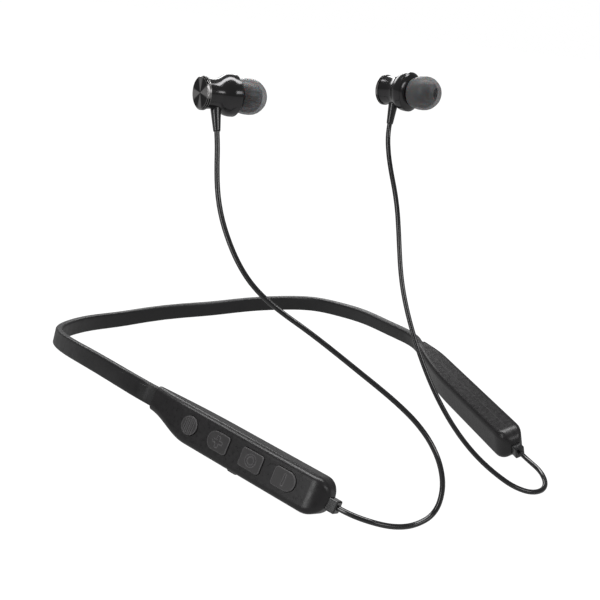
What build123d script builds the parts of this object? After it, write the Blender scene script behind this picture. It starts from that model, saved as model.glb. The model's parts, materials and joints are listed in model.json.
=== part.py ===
from build123d import *
import os
from math import cos, radians, sin, sqrt

# Neckband earphones: a flexible band, a control pod and a battery pod at its ends, and a
# corded magnetic earbud on each pod. Millimetres, Z up, the wearer faces -Y and their left is
# +X. The origin is on the underside of the band at the middle of the nape, where it rests.
# The control pod is at the wearer's right. Shapes that both sides share are made on the
# right and mirrored about the YZ plane.

os.makedirs("parts", exist_ok=True)

# ---------------------------------------------------------------- driving dimensions
# neckband
band_height = 7.8
band_thick = 3.2
band_corner = 1.0
rest_flat_depth = 0.05
channel_thick = 1.5
channel_height = 5.4
spring_radius = 0.45
spring_offset = 1.3
link_radius = 0.6
link_offset = -1.3
band_sections = 14

# pods: s runs along the pod from its neck, v is up its side, t is out of its key face
neck_point = Vector(-72.25, -118.6, 17.07)
pod_yaw = 16.4
pod_droop = 5.1
pod_roll = 20.7
pod_start = 3.0
pod_nose = 86.0
pod_top = 4.7
pod_bottom = -9.4
neck_bottom = -5.0
neck_half = 2.75
face_out = 4.5
face_in = -6.5
seam = -1.0
pod_edge = 2.5
pod_wall = 1.4
nose_top_radius = 6.0
sleeve_reach = 9.0
cavity_start = 10.0
slot_gap = 0.08

# keys on the control pod's outer face
key_row = -1.8
key_gap = 0.2
key_proud = 0.7
key_flange = 0.6
key_flange_thick = 0.7
key_length = 9.5
key_height = 7.0
mode_radius = 3.6
engraving = 0.3

# boards and the things on them
board_thick = 0.8
board_top = 0.9
switch_size = 3.0
switch_height = 1.2
plunger_radius = 0.6
plunger_gap = 0.06
board_start = 21.5
board_end = 78.0
board_low = -7.6
board_high = 2.9

# charge port on the control pod's lower edge, and its hinged rubber cover
port_s = 46.3
port_t = -1.0
port_width = 9.0
port_thick = 3.2
port_mouth = -8.55
port_depth = 5.4
cover_length = 12.0
cover_width = 5.4
cover_top = -8.67
cover_gap = 0.12
lip_height = 0.9
hinge_s = port_s + cover_length / 2 + 0.6
hinge_v = -8.7
hinge_width = 4.4
hinge_barrel_radius = 0.45
hinge_pin_radius = 0.33
hinge_pin_length = 0.8

# cables and boots
cable_radius = 0.95
cable_gap = 0.05
cable_bends = 12
boot_v = -2.5
boot_width = 4.0
boot_height = 4.6
boot_start = 83.0
boot_end = 89.2

# earbuds: x runs from the metal disc to the tip, y is up, opposite to the strain relief
relief_x = 5.9
relief_length = 13.0
cap_radius = 5.85
ring_x = 12.6


def save(piece, name):
    """Labels a finished piece and writes its STEP file."""
    piece.part.label = name
    export_step(piece.part, f"parts/{name}.step")


# ---------------------------------------------------------------- frames
pod_axis = Vector(
    sin(radians(pod_yaw)) * cos(radians(pod_droop)),
    -cos(radians(pod_yaw)) * cos(radians(pod_droop)),
    -sin(radians(pod_droop)),
)


def rolled(origin, along, roll):
    """Plane square to a run of band or pod: x out of the loop, leaning back by roll, normal along it."""
    level = along.cross(Vector(0, 0, 1)).normalized()
    up = level.cross(along).normalized()
    out = level * cos(radians(roll)) + up * sin(radians(roll))
    return Plane(origin=origin, x_dir=out, z_dir=along)


pod_out = rolled(neck_point, pod_axis, pod_roll).x_dir
pod = Plane(origin=neck_point, x_dir=pod_axis, z_dir=pod_out)
pod_up = pod.y_dir


def at(s, v=0.0, t=0.0):
    """World point of a place in the right pod."""
    return neck_point + pod_axis * s + pod_up * v + pod_out * t


def across(s, v=0.0, t=0.0):
    """Plane across the right pod at s: x out of the key face, normal towards the nose."""
    return Plane(origin=at(s, v, t), x_dir=pod_out, z_dir=pod_axis)


def from_below(s, v, t):
    """Plane that looks up into the right pod's lower edge: x along the pod, normal up."""
    return Plane(origin=at(s, v, t), x_dir=pod_axis, z_dir=pod_up)


# ---------------------------------------------------------------- neckband
# centre line of the right half, from the nape to the pod's neck
band_points = [
    (0, 0, band_height / 2 - rest_flat_depth),
    (-27, -3, 4.2),
    (-48, -10.4, 6.8),
    (-63.5, -20.7, 9.4),
    (-73.5, -32.3, 11.6),
    (-77.6, -50, 13.9),
    (-77.8, -75.6, 16.6),
    (-76.2, -97, 17.6),
    neck_point,
]
band_line = Spline(*band_points, tangents=[(-1, 0, 0), pod_axis])


def band_plane(u):
    """Plane across the band at u, 0 at the nape and 1 at the pod; it leans over towards the pod."""
    lean = pod_roll * u * u * (3 - 2 * u)
    return rolled(band_line @ u, band_line % u, lean)


def band_run(draw, height, reach):
    """Half a band or wire, lofted through sections at a height over the centre line, then straight."""
    with BuildPart() as half:
        for i in range(band_sections + 1):
            with BuildSketch(band_plane(i / band_sections)):
                with Locations((0, -height)):
                    draw()
        loft()
        with BuildSketch(across(0)):
            with Locations((0, -height)):
                draw()
        extrude(amount=reach)
    return half.part


sleeve_half = band_run(lambda: RectangleRounded(band_thick, band_height, band_corner), 0, sleeve_reach)
channel_half = band_run(lambda: RectangleRounded(channel_thick, channel_height, 0.7), 0, sleeve_reach)

with BuildPart() as neckband_sleeve:
    add(sleeve_half)
    add(channel_half, mode=Mode.SUBTRACT)
    mirror(about=Plane.YZ)
    split(bisect_by=Plane.XY, keep=Keep.TOP)
save(neckband_sleeve, "neckband_sleeve")

with BuildPart() as spring_wire:
    add(band_run(lambda: Circle(spring_radius), spring_offset, 8.0))
    mirror(about=Plane.YZ)
save(spring_wire, "spring_wire")

with BuildPart() as link_cable:
    add(band_run(lambda: Circle(link_radius), link_offset, 19.0))
    mirror(about=Plane.YZ)
save(link_cable, "link_cable")

# ---------------------------------------------------------------- pod shells
nose_v = pod_top - nose_top_radius
nose_low_radius = nose_v - pod_bottom


def pod_side_outline(inset=0.0):
    """The pod seen from its key face, drawn that far inside its skin."""
    high = pod_top - inset
    low = pod_bottom + inset
    top = Line((pod_start, high), (pod_nose - nose_top_radius, high))
    CenterArc((pod_nose - nose_top_radius, nose_v), nose_top_radius - inset, 0, 90)
    lower = CenterArc((pod_nose - nose_low_radius, nose_v), nose_low_radius - inset, -90, 90)
    Line(lower @ 0, (24, low))
    neck = Bezier((24, low), (17, low), (12, neck_bottom - 0.2 + inset), (pod_start, neck_bottom + inset))
    Line(neck @ 1, top @ 0)


def pod_plan_outline(inset=0.0):
    """The pod seen from above, its sides closing in to the neck and to the nose. Local y is -t."""
    out_y = inset - face_out
    in_y = -face_in - inset
    neck_y = neck_half - inset
    out_side = Bezier((pod_start, -neck_y), (9, -neck_y - 0.8), (13, out_y), (20, out_y))
    Line(out_side @ 1, (79, out_y))
    out_nose = CenterArc((79, 9 - face_out), 9 - inset, -90, 60)
    in_side = Bezier((pod_start, neck_y), (14, neck_y + 1.9), (24, in_y), (38, in_y))
    Line(in_side @ 1, (79, in_y))
    in_nose = CenterArc((79, -face_in - 9), 9 - inset, 30, 60)
    Line(out_nose @ 1, in_nose @ 0)
    Line(in_side @ 0, out_side @ 0)


with BuildPart() as pod_block:
    with BuildSketch(pod.offset(-10)):
        with BuildLine():
            pod_side_outline()
        make_face()
    extrude(amount=20)
    with BuildSketch(from_below(0, -15, 0)):
        with BuildLine():
            pod_plan_outline()
        make_face()
    extrude(amount=30, mode=Mode.INTERSECT)
    rims = [
        e
        for e in pod_block.edges()
        if abs(e.tangent_at(0.5).dot(pod_out)) < 0.9
        and abs(e.tangent_at(0.5).dot(pod_up)) < 0.98
        and (e.center() - neck_point).dot(pod_axis) > pod_start + 0.1
    ]
    fillet(rims, pod_edge)

with BuildPart() as pod_cavity:
    with BuildSketch(pod.offset(-10)):
        with BuildLine():
            pod_side_outline(pod_wall)
        make_face()
        with Locations((cavity_start / 2, 0)):
            Rectangle(cavity_start, 40, mode=Mode.SUBTRACT)
    extrude(amount=20)
    with BuildSketch(from_below(0, -15, 0)):
        with BuildLine():
            pod_plan_outline(pod_wall)
        make_face()
    extrude(amount=30, mode=Mode.INTERSECT)

with BuildPart() as band_slot:
    with BuildSketch(across(pod_start - 1)):
        RectangleRounded(band_thick + 2 * slot_gap, band_height + 2 * slot_gap, band_corner + slot_gap)
    extrude(amount=cavity_start - pod_start + 1.5)

with BuildPart() as boot_socket:
    with BuildSketch(across(boot_start - 0.5, boot_v, seam)):
        RectangleRounded(boot_width + 2 * slot_gap, boot_height + 2 * slot_gap, 0.5)
    extrude(amount=8)

with BuildPart() as shell_pair:
    add(pod_block.part)
    add(pod_cavity.part, mode=Mode.SUBTRACT)
    add(band_slot.part, mode=Mode.SUBTRACT)
    add(boot_socket.part, mode=Mode.SUBTRACT)
    split(bisect_by=Plane.XY, keep=Keep.TOP)

# ---------------------------------------------------------------- control pod
keys = {"mode": 24.9, "plus": 39.0, "power": 54.5, "minus": 69.3}
wall_inner = face_out - pod_wall
flange_top = wall_inner - 0.05
flange_bottom = flange_top - key_flange_thick
board_bottom = board_top - board_thick
switch_top = board_top + switch_height
pin_places = [(31.9, -1.8), (73.5, -4.6)]
sound_hole = (27.0, -4.6)


def key_outline(kind, grow=0.0):
    """One key's outline, grown all round: a disc, a rounded square, or a D that is round on one side."""
    length = key_length + 2 * grow
    height = key_height + 2 * grow
    if kind == "mode":
        Circle(mode_radius + grow)
    elif kind == "power":
        RectangleRounded(length, height, 1.2 + grow)
    else:
        flat_side = 1 if kind == "plus" else -1
        SlotOverall(length, height)
        with Locations((flat_side * length / 4, 0)):
            RectangleRounded(length / 2, height, 1.2 + grow)


def key_symbol(kind):
    """The sign sunk into a key's top."""
    if kind == "mode":
        with GridLocations(1.6, 0, 3, 1):
            Rectangle(0.55, 8)
    elif kind == "plus":
        Rectangle(4.2, 1.1)
        Rectangle(1.1, 4.2)
    elif kind == "power":
        Circle(2.2)
        Circle(1.5, mode=Mode.SUBTRACT)
    else:
        Rectangle(0.6, 4.2)


with BuildPart() as port_recess:
    # seat of the cover, opening for the socket, and the cover's hinge slot with its pin holes
    with BuildSketch(from_below(port_s, cover_top + cover_gap, port_t)):
        RectangleRounded(cover_length + 2 * cover_gap, cover_width + 2 * cover_gap, 1.2)
    extrude(amount=-4)
    with BuildSketch(from_below(port_s, port_mouth - 1, port_t)):
        RectangleRounded(port_width + 0.2, port_thick + 0.2, port_thick / 2)
    extrude(amount=3)
    with BuildSketch(from_below(hinge_s + 0.15, hinge_v + 0.55, port_t)):
        Rectangle(1.6, hinge_width + 0.2)
    extrude(amount=-4)
    with BuildSketch(pod.offset(port_t - hinge_width / 2 - hinge_pin_length)):
        with Locations((hinge_s, hinge_v)):
            Circle(hinge_pin_radius + 0.05)
    extrude(amount=hinge_width + 2 * hinge_pin_length)

with BuildPart() as right_shells:
    add(shell_pair.part)
    add(port_recess.part, mode=Mode.SUBTRACT)
    for kind, s in keys.items():
        with BuildSketch(pod.offset(wall_inner - 1)):
            with Locations((s, key_row)):
                key_outline(kind, key_gap)
        extrude(amount=4, mode=Mode.SUBTRACT)
    with BuildSketch(pod.offset(face_in - 1)):
        with Locations(sound_hole):
            Circle(0.5)
    extrude(amount=4, mode=Mode.SUBTRACT)

with BuildPart() as right_outer_shell:
    add(right_shells.part)
    split(bisect_by=pod.offset(seam), keep=Keep.TOP)
save(right_outer_shell, "right_outer_shell")

with BuildPart() as right_inner_shell:
    # carries the main board on two posts with locating pins
    add(right_shells.part)
    split(bisect_by=pod.offset(seam), keep=Keep.BOTTOM)
    with BuildSketch(pod.offset(face_in + pod_wall)):
        with Locations(*pin_places):
            Circle(1.3)
    extrude(amount=board_bottom - face_in - pod_wall)
    with BuildSketch(pod.offset(board_bottom)):
        with Locations(*pin_places):
            Circle(0.5)
    extrude(amount=board_thick)
save(right_inner_shell, "right_inner_shell")

for kind, s in keys.items():
    with BuildPart() as key:
        with BuildSketch(pod.offset(flange_bottom)):
            with Locations((s, key_row)):
                key_outline(kind, key_flange)
        extrude(amount=key_flange_thick)
        with BuildSketch(pod.offset(flange_top)):
            with Locations((s, key_row)):
                key_outline(kind)
        extrude(amount=face_out + key_proud - flange_top)
        fillet(key.faces().sort_by(Axis(at(0), pod_out))[-1].edges(), 0.25)
        with BuildSketch(pod.offset(face_out + key_proud - engraving)):
            with Locations((s, key_row)):
                key_symbol(kind)
        extrude(amount=1, mode=Mode.SUBTRACT)
    save(key, f"{kind}_key")
    with BuildPart() as plunger:
        with BuildSketch(pod.offset(switch_top - 0.4)):
            with Locations((s, key_row)):
                Circle(plunger_radius)
        extrude(amount=flange_bottom - switch_top + 0.4)
    save(plunger, f"{kind}_switch_plunger")

with BuildPart() as key_switches:
    for s in keys.values():
        with BuildSketch(pod.offset(board_top)):
            with Locations((s, key_row)):
                RectangleRounded(switch_size, switch_size, 0.4)
        extrude(amount=switch_height)
        with BuildSketch(pod.offset(board_top + 0.3)):
            with Locations((s, key_row)):
                Circle(plunger_radius + plunger_gap)
        extrude(amount=switch_height, mode=Mode.SUBTRACT)
save(key_switches, "key_switches")

with BuildPart() as main_board:
    with BuildSketch(pod.offset(board_bottom)):
        with Locations(((board_start + board_end) / 2, (board_low + board_high) / 2)):
            RectangleRounded(board_end - board_start, board_high - board_low, 1.5)
        with Locations((port_s, board_low)):
            notch_height = 2 * (port_mouth + port_depth + 0.2 - board_low)
            Rectangle(port_width + 0.4, notch_height, mode=Mode.SUBTRACT)
        with Locations(*pin_places):
            Circle(0.55, mode=Mode.SUBTRACT)
    extrude(amount=board_thick)
save(main_board, "main_board")

with BuildPart() as radio_shield:
    # pressed metal can over the radio and audio chips, on the board's inner side
    with BuildSketch(pod.offset(board_bottom)):
        with Locations((61.5, -2.2)):
            RectangleRounded(13, 8.4, 0.6)
    extrude(amount=-1.5)
    offset(amount=-0.2, openings=radio_shield.faces().sort_by(Axis(at(0), pod_out))[-1])
save(radio_shield, "radio_shield")

with BuildPart() as radio_chip:
    with BuildSketch(pod.offset(board_bottom)):
        with Locations((60.5, -2.2)):
            Rectangle(6, 6)
    extrude(amount=-0.9)
save(radio_chip, "radio_chip")

with BuildPart() as microphone:
    with BuildSketch(pod.offset(board_bottom)):
        with Locations(sound_hole):
            RectangleRounded(3.8, 3.0, 0.3)
            Circle(0.4, mode=Mode.SUBTRACT)
    extrude(amount=-1.1)
save(microphone, "microphone")

with BuildPart() as charge_socket:
    with BuildSketch(from_below(port_s, port_mouth, port_t)):
        RectangleRounded(port_width, port_thick, port_thick / 2 - 0.01)
    extrude(amount=port_depth)
    with BuildSketch(from_below(port_s, port_mouth, port_t)):
        RectangleRounded(8.34, 2.56, 1.27)
    extrude(amount=port_depth - 0.4, mode=Mode.SUBTRACT)
save(charge_socket, "charge_socket")

with BuildPart() as charge_socket_tongue:
    with BuildSketch(from_below(port_s, port_mouth + 0.9, port_t)):
        Rectangle(6.7, 0.7)
    extrude(amount=port_depth - 1.3)
save(charge_socket_tongue, "charge_socket_tongue")

with BuildPart() as port_cover:
    with BuildSketch(from_below(port_s, pod_bottom, port_t)):
        RectangleRounded(cover_length, cover_width, 1.1)
    extrude(amount=cover_top - pod_bottom)
    with BuildSketch(from_below(port_s, cover_top, port_t)):
        RectangleRounded(7.5, 1.8, 0.89)
    extrude(amount=0.7)
    with BuildSketch(from_below(port_s, pod_bottom, port_t + 0.9)):
        RectangleRounded(4.4, 2.2, 1.0)
    extrude(amount=-lip_height)
    fillet(port_cover.faces().sort_by(Axis(at(0), pod_up))[0].edges(), 0.5)
    with BuildSketch(pod.offset(port_t - hinge_width / 2)):
        with Locations((hinge_s, hinge_v)):
            Circle(hinge_barrel_radius)
        with Locations((hinge_s - 0.45, hinge_v - 0.1)):
            Rectangle(0.9, 0.5)
    extrude(amount=hinge_width)
    with BuildSketch(pod.offset(port_t - hinge_width / 2 - hinge_pin_length + 0.1)):
        with Locations((hinge_s, hinge_v)):
            Circle(hinge_pin_radius)
    extrude(amount=hinge_width + 2 * hinge_pin_length - 0.2)
save(port_cover, "port_cover")

with BuildPart() as right_cable_boot:
    # square block outside the nose, flange inside it, bored for the cable
    with BuildSketch(across(boot_start, boot_v, seam)):
        RectangleRounded(boot_width, boot_height, 0.45)
    extrude(amount=boot_end - boot_start)
    chamfer(right_cable_boot.faces().sort_by(Axis(at(0), pod_axis))[-1].edges(), 0.4)
    with BuildSketch(across(boot_start - 1.7, boot_v, seam)):
        RectangleRounded(5.6, 5.4, 0.8)
    extrude(amount=1.2)
    with BuildSketch(across(boot_start - 0.5, boot_v, seam)):
        Rectangle(3.0, 3.4)
    extrude(amount=0.5)
    with BuildSketch(across(boot_start - 2, boot_v, seam)):
        Circle(cable_radius + cable_gap)
    extrude(amount=boot_end, mode=Mode.SUBTRACT)
save(right_cable_boot, "right_cable_boot")

# ---------------------------------------------------------------- battery pod
battery_start = 24.0
battery_end = 72.0
battery_t = -1.2
battery_v = -2.35

for name in ("left_outer_shell", "left_inner_shell"):
    with BuildPart() as shell:
        add(shell_pair.part)
        split(bisect_by=pod.offset(seam), keep=Keep.TOP if "outer" in name else Keep.BOTTOM)
        mirror(about=Plane.YZ, mode=Mode.REPLACE)
    save(shell, name)

with BuildPart() as left_cable_boot:
    mirror(right_cable_boot.part, about=Plane.YZ)
save(left_cable_boot, "left_cable_boot")

with BuildPart() as battery_cell:
    with BuildSketch(across(battery_start, battery_v, battery_t)):
        RectangleRounded(6.0, 9.6, 1.8)
    extrude(amount=battery_end - battery_start)
    mirror(about=Plane.YZ, mode=Mode.REPLACE)
save(battery_cell, "battery_cell")

with BuildPart() as battery_protection_board:
    with BuildSketch(pod.offset(battery_t)):
        with Locations((battery_end + 4, battery_v)):
            RectangleRounded(6.5, 7, 0.5)
    extrude(amount=board_thick)
    mirror(about=Plane.YZ, mode=Mode.REPLACE)
save(battery_protection_board, "battery_protection_board")

with BuildPart() as battery_pad:
    # double-sided foam that holds the cell to the inner shell
    with BuildSketch(pod.offset(battery_t - 3.05)):
        with Locations((55, battery_v)):
            Rectangle(30, 5)
    extrude(amount=-0.8)
    mirror(about=Plane.YZ, mode=Mode.REPLACE)
save(battery_pad, "battery_pad")


# ---------------------------------------------------------------- earbuds
def bud_plane(spot, forward, up):
    """Earbud frame from the point where its strain relief meets its axis."""
    forward = Vector(*forward).normalized()
    side = forward.cross(Vector(*up)).normalized()
    return Plane(origin=Vector(*spot) - forward * relief_x, x_dir=forward, z_dir=side)


def turned(lie, draw):
    """A body turned about the earbud's axis from an outline drawn with x ahead and y as radius."""
    with BuildPart() as body:
        with BuildSketch(lie):
            with BuildLine():
                draw()
            make_face()
        revolve(axis=Axis(lie.origin, lie.x_dir))
    return body


def disc(lie, radius, start, length, bore=0.0):
    """A plain disc or ring about the earbud's axis."""
    ring = [(start, bore), (start, radius), (start + length, radius), (start + length, bore)]
    return turned(lie, lambda: Polyline(*ring, close=True))


def cap_outline():
    Polyline(
        (0, 0), (0, cap_radius - 0.45), (0.45, cap_radius), (1.3, cap_radius), (1.3, 4.3),
        (2.5, 4.3), (2.5, 3.5), (1.3, 3.5), (1.3, 0), close=True,
    )


def barrel_outline():
    skin = Spline(
        (1.3, 5.45), (4.4, 5.2), (7, 5.55), (9.2, 6.7), (ring_x, 7.45), tangents=[(1, -0.1), (1, 0)]
    )
    Polyline(skin @ 1, (ring_x, 6.4), (10.4, 6.4), (9.3, 4.4), (1.3, 4.4), skin @ 0)


def ring_outline():
    Polyline(
        (ring_x, 6.45), (ring_x, 7.45), (ring_x + 0.35, 7.45), (ring_x + 0.6, 7.2),
        (ring_x + 0.6, 6.45), close=True,
    )


def front_outline():
    cone = Spline(
        (ring_x + 0.6, 7.1), (13.9, 6.2), (15.0, 3.6), (15.7, 2.8), tangents=[(0.5, -0.25), (1, -0.15)]
    )
    Polyline(
        cone @ 1, (18.3, 2.8), (18.5, 3.05), (19.1, 3.05), (19.3, 2.8), (19.3, 2.2), (15.4, 2.2),
        (13.9, 5.0), (ring_x + 0.1, 5.9), (ring_x + 0.1, 6.4), (ring_x + 0.6, 6.4), cone @ 0,
    )


def frame_outline():
    Polyline((10.5, 1.2), (10.5, 6.3), (12.6, 6.3), (12.6, 5.9), (11, 5.9), (11, 1.2), close=True)


def diaphragm_outline():
    Polyline(
        (12.3, 5.85), (12.45, 5.85), (12.5, 3.9), (12.85, 2.4), (13, 0),
        (12.85, 0), (12.7, 2.3), (12.3, 3.8), close=True,
    )


def tip_outline():
    dome = Spline((25.6, 2.7), (24.6, 4.4), (22.6, 5.8), (20, 6.35), (17.4, 6.2), (14.9, 5.4))
    inside = Spline(
        (15.2, 4.8), (17.6, 5.5), (20.2, 5.6), (22.2, 4.9), (23.3, 3.7), tangents=[(1, 0.4), (0, -1)]
    )
    Line(dome @ 1, inside @ 0)
    Polyline(
        inside @ 1, (16, 3.7), (16, 2.85), (18.2, 2.85), (18.2, 3.1), (19.4, 3.1), (19.4, 2.2),
        (25.6, 2.2), dome @ 0,
    )


def relief_outline():
    Polyline(
        (relief_x + 1.0, -2.6), (relief_x + 2.2, -2.6), (relief_x + 2.2, -3.5), (relief_x + 1.85, -3.5),
        (relief_x + 1.85, -5.4), (relief_x + 1.3, 0.4 - relief_length), (relief_x + 1.2, -relief_length),
        (relief_x + 1.0, -relief_length), close=True,
    )


def make_bud(side, lie):
    """Every piece of one earbud."""
    save(turned(lie, cap_outline), f"{side}_bud_cap")
    save(disc(lie, 3.4, 1.35, 1.1), f"{side}_cap_magnet")
    relief_axis = Axis(lie.from_local_coords((relief_x, 0, 0)), lie.y_dir)
    with BuildPart() as barrel:
        add(turned(lie, barrel_outline).part)
        with BuildSketch(Plane(origin=relief_axis.position, z_dir=-lie.y_dir)):
            Circle(1.9)
        extrude(amount=8, mode=Mode.SUBTRACT)
    save(barrel, f"{side}_bud_barrel")
    save(turned(lie, ring_outline), f"{side}_trim_ring")
    save(turned(lie, front_outline), f"{side}_front_housing")
    save(disc(lie, 2.15, 18.9, 0.25), f"{side}_nozzle_mesh")
    save(turned(lie, frame_outline), f"{side}_driver_frame")
    save(disc(lie, 3.2, 11.05, 0.8), f"{side}_driver_magnet")
    save(disc(lie, 3.8, 11.4, 0.75, bore=3.45), f"{side}_voice_coil")
    save(turned(lie, diaphragm_outline), f"{side}_diaphragm")
    save(turned(lie, tip_outline), f"{side}_ear_tip")
    with BuildPart() as relief:
        with BuildSketch(lie):
            with BuildLine():
                relief_outline()
            make_face()
        revolve(axis=relief_axis)
    save(relief, f"{side}_strain_relief")


right_bud = bud_plane((-60, -126.6, 132.1), (0.999, -0.043, -0.023), (0.134, 0.298, 0.945))
left_bud = bud_plane((18.7, -133.6, 137.7), (0.162, -1.008, 0.060), (0.107, 0.230, 0.967))
make_bud("right", right_bud)
make_bud("left", left_bud)


# ---------------------------------------------------------------- cables
def biarc(start, heading, end, final):
    """Two tangent arcs from one point and heading to another."""
    gap = end - start
    total = heading + final
    spread = 2 * (1 - heading.dot(final))
    reach = (sqrt(gap.dot(total) ** 2 + spread * gap.dot(gap)) - gap.dot(total)) / spread
    first_knee = start + heading * reach
    last_knee = end - final * reach
    middle = (first_knee + last_knee) / 2
    TangentArc(start, middle, tangent=heading)
    TangentArc(middle, end, tangent=last_knee - first_knee)


def make_cable(side, lie, waypoints):
    """A cable from inside a pod, through its boot and a slack loop, up into its earbud."""
    hand = -1 if side == "left" else 1
    along = Vector(hand * pod_axis.X, pod_axis.Y, pod_axis.Z)
    outer = at(boot_end + 0.3, boot_v, seam)
    leave = Vector(hand * outer.X, outer.Y, outer.Z)
    arrive = lie.from_local_coords((relief_x, -relief_length - 0.3, 0))
    route = Spline(leave, *waypoints, arrive, tangents=[along, lie.y_dir], tangent_scalars=[1, 1])
    start = leave - along * (boot_end - boot_start + 3)
    with BuildPart() as cable:
        with BuildLine():
            Line(start, leave)
            for i in range(cable_bends):
                near = i / cable_bends
                far = (i + 1) / cable_bends
                biarc(route @ near, route % near, route @ far, route % far)
            Line(arrive, arrive + lie.y_dir * (relief_length - 2.5))
        with BuildSketch(Plane(start, z_dir=along)):
            Circle(cable_radius)
        sweep()
    save(cable, f"{side}_cable")


right_waypoints = [
    (-40.5, -213.3, 4.7),
    (-26.3, -217.6, 1.8),
    (-15.5, -218.7, 5.5),
    (-12.9, -216.4, 16.5),
    (-27.5, -189.2, 44.0),
    (-44.3, -168.2, 59.1),
    (-54.6, -155.3, 68.8),
    (-60.4, -143.8, 84.1),
    (-61.9, -137.5, 97.0),
]
left_waypoints = [
    (43.6, -219.5, 2.4),
    (33.8, -221.8, 1.7),
    (23.3, -212.3, 6.5),
    (15.9, -195.2, 18.9),
    (9.6, -173.1, 48.3),
    (9.0, -161.8, 69.1),
    (12.3, -149.1, 97.6),
]
make_cable("right", right_bud, right_waypoints)
make_cable("left", left_bud, left_waypoints)
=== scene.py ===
import json
from math import cos, pi, radians, sin

import bmesh
import bpy
from mathutils import Matrix, Vector


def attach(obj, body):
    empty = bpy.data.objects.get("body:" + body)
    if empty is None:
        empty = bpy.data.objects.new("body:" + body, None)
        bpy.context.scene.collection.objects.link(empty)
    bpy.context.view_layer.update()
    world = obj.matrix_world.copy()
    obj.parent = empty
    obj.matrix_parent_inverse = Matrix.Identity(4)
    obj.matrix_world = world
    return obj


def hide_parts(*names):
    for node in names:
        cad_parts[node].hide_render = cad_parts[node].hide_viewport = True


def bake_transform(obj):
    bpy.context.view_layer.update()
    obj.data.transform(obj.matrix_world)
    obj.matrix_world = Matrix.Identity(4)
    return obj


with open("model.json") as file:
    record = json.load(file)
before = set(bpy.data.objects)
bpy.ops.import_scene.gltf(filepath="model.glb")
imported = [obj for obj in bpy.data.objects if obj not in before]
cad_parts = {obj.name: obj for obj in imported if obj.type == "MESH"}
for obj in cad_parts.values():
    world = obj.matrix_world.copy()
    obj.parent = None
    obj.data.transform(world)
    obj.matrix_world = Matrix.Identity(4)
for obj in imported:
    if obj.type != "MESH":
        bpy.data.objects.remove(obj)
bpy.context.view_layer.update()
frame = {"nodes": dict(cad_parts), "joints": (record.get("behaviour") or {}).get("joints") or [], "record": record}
nodes = frame["nodes"]
slots = {entry["node"]: entry["material_slot"] for entry in frame["record"]["subparts"]}
joints = {joint["name"]: joint for joint in frame["joints"]}
MM = 0.001

# from an earbud's disc to the axis of its strain relief, and how far from its boot's mouth a
# cable still counts as leaving it
RELIEF_AHEAD = 5.9 * MM
BOOT_REACH = 22 * MM

# strength of the white surroundings: as lit by them, and as the camera sees them
FLOOR_FILL, FLOOR_SEEN = 0.35, 1.1
WORLD_FILL, WORLD_SEEN = 0.16, 1.0


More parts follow.
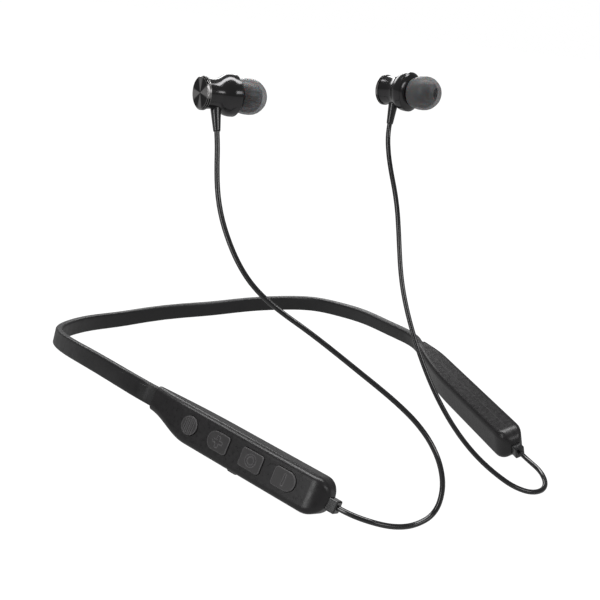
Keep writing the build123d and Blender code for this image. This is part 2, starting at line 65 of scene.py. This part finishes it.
# ---------------------------------------------------------------- materials
class Paint:
    """A node material: a Principled shader with helpers to drive its inputs from patterns."""

    def __init__(self, name, color, rough, metallic=0.0, **inputs):
        self.material = bpy.data.materials.new(name)
        self.material.use_nodes = True
        self.tree = self.material.node_tree
        self.shader = self.tree.nodes["Principled BSDF"]
        self.color = color
        self.height = None
        self.set("Base Color", (*color, 1))
        self.set("Roughness", rough)
        self.set("Metallic", metallic)
        for key, value in inputs.items():
            self.set(key.replace("_", " "), value)
        self.place = self.node("ShaderNodeTexCoord").outputs["Object"]

    def node(self, kind, **settings):
        made = self.tree.nodes.new(kind)
        for key, value in settings.items():
            setattr(made, key, value)
        return made

    def link(self, source, target):
        self.tree.links.new(source, target)

    def set(self, name, value):
        self.shader.inputs[name].default_value = value

    def maths(self, operation, a, b=0.0, c=0.0):
        made = self.node("ShaderNodeMath", operation=operation)
        for socket, value in zip(made.inputs, (a, b, c)):
            if isinstance(value, (int, float)):
                socket.default_value = value
            else:
                self.link(value, socket)
        return made.outputs[0]

    def along(self, direction, origin=(0, 0, 0)):
        """How far a point lies along a direction from an origin, in metres."""
        moved = self.node("ShaderNodeVectorMath", operation="SUBTRACT")
        self.link(self.place, moved.inputs[0])
        moved.inputs[1].default_value = origin
        made = self.node("ShaderNodeVectorMath", operation="DOT_PRODUCT")
        self.link(moved.outputs[0], made.inputs[0])
        made.inputs[1].default_value = direction
        return made.outputs["Value"]

    def noise(self, size, detail=3.0, rough=0.55, stretch=(1, 1, 1)):
        """Noise with features about size metres across."""
        scaled = self.node("ShaderNodeMapping")
        scaled.inputs["Scale"].default_value = stretch
        self.link(self.place, scaled.inputs["Vector"])
        made = self.node("ShaderNodeTexNoise")
        made.inputs["Scale"].default_value = 1 / size
        made.inputs["Detail"].default_value = detail
        made.inputs["Roughness"].default_value = rough
        self.link(scaled.outputs[0], made.inputs["Vector"])
        return made.outputs["Fac"]

    def cells(self, size, feature="F1"):
        made = self.node("ShaderNodeTexVoronoi", feature=feature)
        made.inputs["Scale"].default_value = 1 / size
        self.link(self.place, made.inputs["Vector"])
        return made.outputs["Distance"]

    def spread(self, value, low, high, start=0.3, end=0.7):
        made = self.node("ShaderNodeMapRange")
        made.inputs["From Min"].default_value = start
        made.inputs["From Max"].default_value = end
        made.inputs["To Min"].default_value = low
        made.inputs["To Max"].default_value = high
        self.link(value, made.inputs["Value"])
        return made.outputs[0]

    def drive(self, name, value):
        self.link(value, self.shader.inputs[name])

    def tint(self, value, other, low=0.0, high=1.0):
        """Mixes the base colour with another by a pattern."""
        self.mix(self.color, other, self.spread(value, low, high))

    def mix(self, first, second, share):
        """Drives the base colour by a share between two colours; first may be a node's output."""
        made = self.node("ShaderNodeMix", data_type="RGBA")
        a, b = [s for s in made.inputs if s.type == "RGBA"]
        if isinstance(first, bpy.types.NodeSocket):
            self.link(first, a)
        else:
            a.default_value = (*first, 1)
        b.default_value = (*second, 1)
        self.link(share, made.inputs["Factor"])
        out = next(s for s in made.outputs if s.type == "RGBA")
        self.link(out, self.shader.inputs["Base Color"])

    def bump(self, value, depth, strength=1.0):
        made = self.node("ShaderNodeBump")
        made.inputs["Distance"].default_value = depth
        made.inputs["Strength"].default_value = strength
        self.link(value, made.inputs["Height"])
        if self.height:
            self.link(self.height, made.inputs["Normal"])
        self.height = made.outputs["Normal"]
        self.link(self.height, self.shader.inputs["Normal"])

    def painted_edge_highlight(self, color, radius=0.0006, amount=0.6):
        """Lighter edges, a painted highlight found by how far a rounded normal turns away."""
        soft = self.node("ShaderNodeBevel", samples=4)
        soft.inputs["Radius"].default_value = radius
        plain = self.node("ShaderNodeNewGeometry")
        made = self.node("ShaderNodeVectorMath", operation="DOT_PRODUCT")
        self.link(soft.outputs[0], made.inputs[0])
        self.link(plain.outputs["Normal"], made.inputs[1])
        # painted highlight: the share of the lighter edge colour, strongest on the sharpest rims
        edge = self.spread(made.outputs["Value"], amount, 0.0, 0.90, 0.995)
        old = self.shader.inputs["Base Color"].links
        self.mix(old[0].from_socket if old else self.color, color, edge)


def plastic(name, color, rough, grain=0.00022, depth=0.000012, edge=None):
    paint = Paint(name, color, rough, Specular_IOR_Level=0.5)
    lighter = [c * 1.35 + 0.004 for c in color]
    paint.tint(paint.noise(0.006, 4), lighter, 0.0, 0.5)
    paint.drive("Roughness", paint.spread(paint.noise(0.0015, 3), rough - 0.05, rough + 0.06))
    paint.bump(paint.noise(grain, 2), depth)
    # edge is the colour of a painted highlight along every rim
    if edge:
        paint.painted_edge_highlight(edge)
    return paint


paints = {}
# the edge colours of the pods and keys are a painted highlight along their rims
paints["pod_plastic"] = plastic(
    "pod_plastic", (0.017, 0.016, 0.017), 0.30, depth=0.000003, edge=(0.055, 0.053, 0.055)
)
paints["key_plastic"] = plastic(
    "key_plastic", (0.040, 0.038, 0.039), 0.40, depth=0.000005, edge=(0.30, 0.29, 0.30)
)
paints["switch_housing"] = plastic("switch_housing", (0.03, 0.03, 0.032), 0.5)
paints["switch_plunger"] = plastic("switch_plunger", (0.5, 0.46, 0.38), 0.4)
paints["chip_black"] = plastic("chip_black", (0.012, 0.012, 0.013), 0.55)

band = Paint("band_silicone", (0.010, 0.010, 0.011), 0.36, Specular_IOR_Level=0.55)
band.tint(band.noise(0.004, 3), (0.017, 0.016, 0.017), 0.0, 0.6)
band.drive("Roughness", band.spread(band.noise(0.003, 4), 0.32, 0.45))
band.bump(band.noise(0.0003, 2), 0.00001)
# painted highlight: lighter rims along the band's edges
band.painted_edge_highlight((0.06, 0.06, 0.062), 0.0008, 0.5)
paints["band_silicone"] = band

cord = Paint(
    "cable_jacket", (0.006, 0.006, 0.007), 0.22,
    Specular_IOR_Level=0.7, Coat_Weight=0.6, Coat_Roughness=0.10,
)
cord.tint(cord.noise(0.003, 2), (0.010, 0.010, 0.011), 0.0, 0.5)
cord.drive("Roughness", cord.spread(cord.noise(0.002, 3), 0.18, 0.30))
cord.bump(cord.noise(0.0004, 2), 0.000003)
paints["cable_jacket"] = cord

board = Paint("circuit_board", (0.012, 0.10, 0.045), 0.35, Coat_Weight=0.4)
board.tint(board.cells(0.0016, "DISTANCE_TO_EDGE"), (0.02, 0.18, 0.08), 0.0, 0.8)
board.bump(board.cells(0.0016, "DISTANCE_TO_EDGE"), 0.00003)
paints["circuit_board"] = board


def brushed(name, color, rough, stretch=(1, 1, 30)):
    paint = Paint(name, color, rough, 1.0)
    lines = paint.noise(0.0006, 4, 0.6, stretch)
    paint.drive("Roughness", paint.spread(lines, rough - 0.08, rough + 0.10))
    paint.tint(lines, [c * 0.7 for c in color], 0.0, 0.6)
    paint.bump(lines, 0.000006)
    return paint


paints["spring_steel"] = brushed("spring_steel", (0.60, 0.60, 0.62), 0.30)
paints["sheet_metal"] = brushed("sheet_metal", (0.62, 0.62, 0.63), 0.28)
paints["driver_metal"] = brushed("driver_metal", (0.55, 0.54, 0.53), 0.30)
paints["magnet"] = brushed("magnet", (0.60, 0.60, 0.62), 0.16)
paints["coil_copper"] = brushed("coil_copper", (0.72, 0.34, 0.16), 0.30)
foil = brushed("battery_foil", (0.64, 0.65, 0.66), 0.34, (8, 1, 1))
foil.bump(foil.noise(0.006, 2), 0.0002)
paints["battery_foil"] = foil
foam = Paint("foam", (0.05, 0.05, 0.05), 0.95)
foam.tint(foam.cells(0.0006), (0.015, 0.015, 0.015), 0.0, 0.9)
foam.bump(foam.cells(0.0006), 0.0003)
paints["foam"] = foam
film = Paint("diaphragm_film", (0.40, 0.36, 0.30), 0.2, Coat_Weight=0.5)
film.tint(film.noise(0.002), (0.5, 0.46, 0.40))
paints["diaphragm_film"] = film

mesh_paint = Paint("mesh", (0.30, 0.30, 0.31), 0.35, 1.0)
holes = mesh_paint.cells(0.00045)
mesh_paint.tint(holes, (0.01, 0.01, 0.01), 0.9, 0.0)
mesh_paint.bump(holes, 0.0002)
paints["mesh"] = mesh_paint


# ---------------------------------------------------------------- earbud frames
class Bud:
    """An earbud's axes, from its joints: its centre line, and the strain relief's way across it."""

    def __init__(self, side):
        self.side = side
        crossing = Vector(joints[f"{side}_bud_swivel"]["pos_m"])
        self.up = Vector(joints[f"{side}_bud_swivel"]["axis"]).normalized()
        self.forward = Vector(joints[f"{side}_tip_pull"]["axis"]).normalized()
        self.across = self.forward.cross(self.up).normalized()
        self.origin = crossing - self.forward * RELIEF_AHEAD


buds = {side: Bud(side) for side in ("right", "left")}


def gunmetal(bud):
    """Dark polished metal, turned on a lathe: faint rings about the earbud's axis."""
    paint = Paint(
        f"bud_metal_{bud.side}", (0.060, 0.058, 0.060), 0.16, 0.85,
        Coat_Weight=0.6, Coat_Roughness=0.05,
    )
    run = paint.along(bud.forward, bud.origin)
    rings = paint.maths("SINE", paint.maths("MULTIPLY", run, 2 * pi / 0.00016))
    paint.drive("Roughness", paint.spread(rings, 0.12, 0.20, -1, 1))
    paint.bump(rings, 0.000002)
    paint.tint(paint.noise(0.004), (0.045, 0.044, 0.046))
    return paint


def spun_disc(bud):
    """The cap's spun face: light and dark wedges turning about its centre, a painted reflection of the turned
    metal, over fine rings.
    """
    paint = Paint(f"disc_metal_{bud.side}", (0.020, 0.019, 0.020), 0.24, 1.0)
    a = paint.along(bud.across, bud.origin)
    b = paint.along(bud.up, bud.origin)
    turn = paint.maths("ARCTAN2", b, a)
    wave = paint.maths("COSINE", paint.maths("MULTIPLY_ADD", turn, 4.0, 0.6))
    broad = paint.maths("COSINE", paint.maths("MULTIPLY_ADD", turn, 2.0, -0.5))
    painted_wedge_reflection = paint.maths("MULTIPLY_ADD", wave, 0.7, paint.maths("MULTIPLY", broad, 0.3))
    # painted reflection: bright wedges in the base colour stand in for the lathe-cut metal's turning reflection
    paint.tint(paint.spread(painted_wedge_reflection, 0.0, 1.0, -0.5, 0.9), (0.36, 0.35, 0.35), 0.0, 1.0)
    squares = paint.maths("ADD", paint.maths("MULTIPLY", a, a), paint.maths("MULTIPLY", b, b))
    radius = paint.maths("SQRT", squares)
    rings = paint.maths("SINE", paint.maths("MULTIPLY", radius, 2 * pi / 0.0002))
    paint.bump(rings, 0.000004)
    paint.drive("Roughness", paint.spread(rings, 0.20, 0.30, -1, 1))
    # painted highlight: a bright rim along the cap's edges
    paint.painted_edge_highlight((0.75, 0.74, 0.73), 0.0003, 0.9)
    return paint


for node, obj in nodes.items():
    slot = slots[node]
    if slot in ("bud_metal", "disc_metal"):
        bud = buds[node.split("_")[0]]
        if slot + bud.side not in paints:
            paints[slot + bud.side] = gunmetal(bud) if slot == "bud_metal" else spun_disc(bud)
        paint = paints[slot + bud.side]
    elif slot == "tip_silicone":
        continue
    else:
        paint = paints[slot]
    obj.data.materials.clear()
    obj.data.materials.append(paint.material)


# ---------------------------------------------------------------- mesh helpers
def finished(name, work, paint, smooth=35):
    """A linked object from an open mesh, with smooth shading up to an angle in degrees."""
    mesh = bpy.data.meshes.new(name)
    work.to_mesh(mesh)
    work.free()
    for face in mesh.polygons:
        face.use_smooth = True
    mesh.set_sharp_from_angle(angle=radians(smooth))
    obj = bpy.data.objects.new(name, mesh)
    bpy.context.scene.collection.objects.link(obj)
    mesh.materials.append(paint.material)
    return obj


def opened(node):
    """A CAD node's mesh, open for editing, with its shared points joined."""
    work = bmesh.new()
    work.from_mesh(nodes[node].data)
    bmesh.ops.remove_doubles(work, verts=work.verts, dist=1e-6)
    return work


def cut(work, place, normal, **settings):
    """Cuts an open mesh by a plane."""
    everything = work.verts[:] + work.edges[:] + work.faces[:]
    bmesh.ops.bisect_plane(
        work, geom=everything, plane_co=place, plane_no=normal, dist=1e-7, **settings
    )


def lathe(name, bud, profile, paint, segments=72):
    """A form turned about an earbud's axis from a closed outline of (x, r) in millimetres."""
    rings = []
    for k in range(segments):
        a = 2 * pi * k / segments
        radial = bud.up * cos(a) + bud.across * sin(a)
        rings.append([bud.origin + (bud.forward * x + radial * r) * MM for x, r in profile])
    work = bmesh.new()
    rows = [[work.verts.new(point) for point in ring] for ring in rings + [rings[0]]]
    count = len(profile)
    for first, second in zip(rows, rows[1:]):
        for i in range(count):
            j = (i + 1) % count
            work.faces.new((first[i], first[j], second[j], second[i]))
    work.normal_update()
    bmesh.ops.recalc_face_normals(work, faces=work.faces)
    return finished(name, work, paint, 40)


def half_of(node, side, name):
    """Half of a CAD node's mesh, cut at the middle of the nape."""
    work = opened(node)
    cut(work, (0, 0, 0), (side, 0, 0), clear_inner=True)
    return finished(name, work, paints[slots[node]])


def cable_part(node, name, mouth, end, by_boot):
    """The stretch of a cable from its boot's mouth to the plane through end, or all the rest."""
    ahead = end - mouth
    work = opened(node)
    cut(work, end, ahead)
    drop = []
    for face in work.faces:
        middle = face.calc_center_median()
        near = (middle - mouth).length < BOOT_REACH and (middle - end).dot(ahead) < 0
        if near != by_boot:
            drop.append(face)
    bmesh.ops.delete(work, geom=drop, context="FACES")
    return finished(name, work, paints[slots[node]])


# ---------------------------------------------------------------- neckband halves and cables
for side, label, pod_body in ((-1, "right", "control_pod"), (1, "left", "battery_pod")):
    for node in ("neckband_sleeve", "spring_wire", "link_cable"):
        piece = half_of(node, side, f"{label}_{node}")
        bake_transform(piece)
        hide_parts(node)
    mouth = Vector(joints[f"{label}_cable_swing"]["pos_m"])
    end = mouth + Vector((-side * 4, -15, -1)) * MM
    root = cable_part(f"{label}_cable", f"{label}_cable_root", mouth, end, True)
    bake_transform(root)
    run = cable_part(f"{label}_cable", f"{label}_cable_run", mouth, end, False)
    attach(run, f"{label}_lead")
    for piece in (root, run):
        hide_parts(f"{label}_cable")


# ---------------------------------------------------------------- ear tips
tip = Paint(
    "tip_silicone", (0.20, 0.20, 0.205), 0.32,
    IOR=1.41, Subsurface_Weight=0.35, Subsurface_Scale=0.002, Specular_IOR_Level=0.45,
)
tip.tint(tip.noise(0.003, 2), (0.24, 0.24, 0.245), 0.0, 0.6)
tip.bump(tip.noise(0.0008, 2), 0.00002)
glow = tip.node("ShaderNodeBsdfTransparent")
glow.inputs["Color"].default_value = (0.72, 0.72, 0.73, 1)
blend_node = tip.node("ShaderNodeMixShader")
facing = tip.node("ShaderNodeLayerWeight")
facing.inputs["Blend"].default_value = 0.35
tip.link(tip.spread(facing.outputs["Facing"], 0.60, 0.12, 0.0, 1.0), blend_node.inputs[0])
tip.link(tip.shader.outputs[0], blend_node.inputs[1])
tip.link(glow.outputs[0], blend_node.inputs[2])
tip.link(blend_node.outputs[0], tip.tree.nodes["Material Output"].inputs["Surface"])

tip_profile = [
    (25.6, 2.7), (25.35, 3.4), (24.8, 4.15), (23.9, 4.95), (22.7, 5.75), (21.4, 6.2), (20.0, 6.35),
    (18.6, 6.32), (17.3, 6.18), (16.0, 5.85), (14.95, 5.42), (14.8, 5.1), (15.2, 4.8), (16.4, 5.2),
    (17.7, 5.5), (20.0, 5.6), (21.5, 5.25), (22.5, 4.6), (23.1, 3.95), (22.4, 3.75), (20.0, 3.7),
    (16.1, 3.7), (15.9, 3.3), (16.1, 2.85), (18.2, 2.87), (18.4, 3.1), (19.2, 3.1), (19.4, 2.7),
    (19.6, 2.2), (25.1, 2.2), (25.55, 2.35),
]
for label, bud in buds.items():
    piece = lathe(f"{label}_tip_skirt", bud, tip_profile, tip)
    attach(piece, f"{label}_tip")
    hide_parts(f"{label}_ear_tip")


# ---------------------------------------------------------------- floor, light, camera
def simple_plane(name, size, z):
    mesh = bpy.data.meshes.new(name)
    s = size / 2
    mesh.from_pydata([(-s, -s, z), (s, -s, z), (s, s, z), (-s, s, z)], [], [(0, 1, 2, 3)])
    obj = bpy.data.objects.new(name, mesh)
    bpy.context.scene.collection.objects.link(obj)
    return obj


floor = simple_plane("floor", 60, -0.0003)
ground = Paint("floor_white", (0.9, 0.9, 0.9), 0.9)
ground.set("Specular IOR Level", 0.0)
lit = ground.node("ShaderNodeEmission")
lit.inputs["Color"].default_value = (1, 1, 1, 1)
floor_rays = ground.node("ShaderNodeLightPath")
seen = floor_rays.outputs["Is Camera Ray"]
ground.link(ground.spread(seen, FLOOR_FILL, FLOOR_SEEN, 0, 1), lit.inputs["Strength"])
share = ground.node("ShaderNodeMixShader")
share.inputs[0].default_value = 0.93
ground.link(ground.shader.outputs[0], share.inputs[1])
ground.link(lit.outputs[0], share.inputs[2])
ground.link(share.outputs[0], ground.tree.nodes["Material Output"].inputs["Surface"])
floor.data.materials.append(ground.material)


def softbox(name, place, target, size, power):
    data = bpy.data.lights.new(name, "AREA")
    data.shape = "RECTANGLE"
    data.size, data.size_y = size
    data.energy = power
    lamp = bpy.data.objects.new(name, data)
    lamp.location = place
    lamp.rotation_euler = (Vector(target) - Vector(place)).to_track_quat("-Z", "Y").to_euler()
    bpy.context.scene.collection.objects.link(lamp)
    return lamp


middle = (0, -0.11, 0.05)
softbox("top_box", (0.05, -0.05, 0.75), middle, (0.8, 0.22), 4.2)
softbox("left_box", (-0.85, -0.25, 0.35), middle, (0.22, 0.8), 2.2)
softbox("front_box", (0.15, -0.95, 0.45), middle, (0.5, 0.2), 1.0)
softbox("back_box", (0.3, 0.75, 0.5), middle, (0.9, 0.22), 2.6)

world = bpy.data.worlds.new("studio")
bpy.context.scene.world = world
world.use_nodes = True
tree = world.node_tree
background = tree.nodes["Background"]
paths = tree.nodes.new("ShaderNodeLightPath")
strength = tree.nodes.new("ShaderNodeMapRange")
strength.inputs["To Min"].default_value = WORLD_FILL
strength.inputs["To Max"].default_value = WORLD_SEEN
tree.links.new(paths.outputs["Is Camera Ray"], strength.inputs["Value"])
tree.links.new(strength.outputs[0], background.inputs["Strength"])
background.inputs["Color"].default_value = (1, 1, 1, 1)

lens = bpy.data.cameras.new("camera")
lens.lens = 54
lens.sensor_width = 36
lens.clip_start = 0.01
camera = bpy.data.objects.new("camera", lens)
right, up, back = (0.7921, -0.6001, 0.1114), (0.0934, 0.2996, 0.9495), (-0.6032, -0.7417, 0.2934)
turned = Matrix((right, up, back)).transposed().to_4x4()
camera.matrix_world = Matrix.Translation(Vector((-232.02, -397.93, 159.18)) * MM) @ turned
bpy.context.scene.collection.objects.link(camera)
bpy.context.scene.camera = camera
bpy.context.scene.view_settings.view_transform = "Standard"
